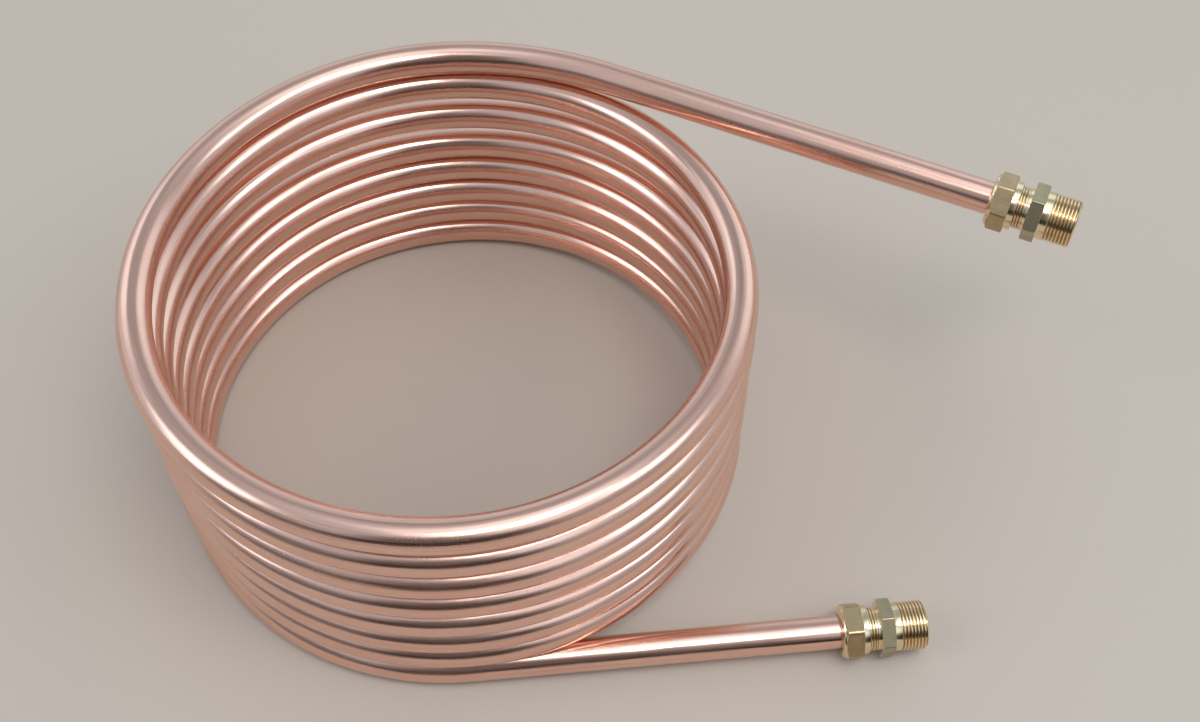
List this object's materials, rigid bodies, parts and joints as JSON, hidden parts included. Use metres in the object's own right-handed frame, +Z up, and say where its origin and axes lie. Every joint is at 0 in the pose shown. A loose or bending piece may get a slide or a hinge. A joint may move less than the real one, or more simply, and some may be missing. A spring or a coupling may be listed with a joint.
{
  "type": "copper tube coil",
  "caption": "Copper tube wound in an open single-layer coil on its end, with a straight tail and a brass compression fitting with a male thread at each end.",
  "frame": {"origin": "on the floor, at the middle of the part's box seen from above; the coil's own axis stands beside it", "axes": "+Z up along the coil's axis; +X the way the lower tail leaves the coil, along its longest side; the coil winds down counter-clockwise seen from above"},
  "size_m": [0.5088, 0.3408, 0.1735],
  "materials": {
    "copper": "polished",
    "brass": "machined"
  },
  "bodies": {
    "root": {"copper_tube": "copper", "upper_nut": "brass", "upper_olive": "brass", "upper_adapter": "brass", "lower_nut": "brass", "lower_olive": "brass", "lower_adapter": "brass"}
  },
  "joints": []
}
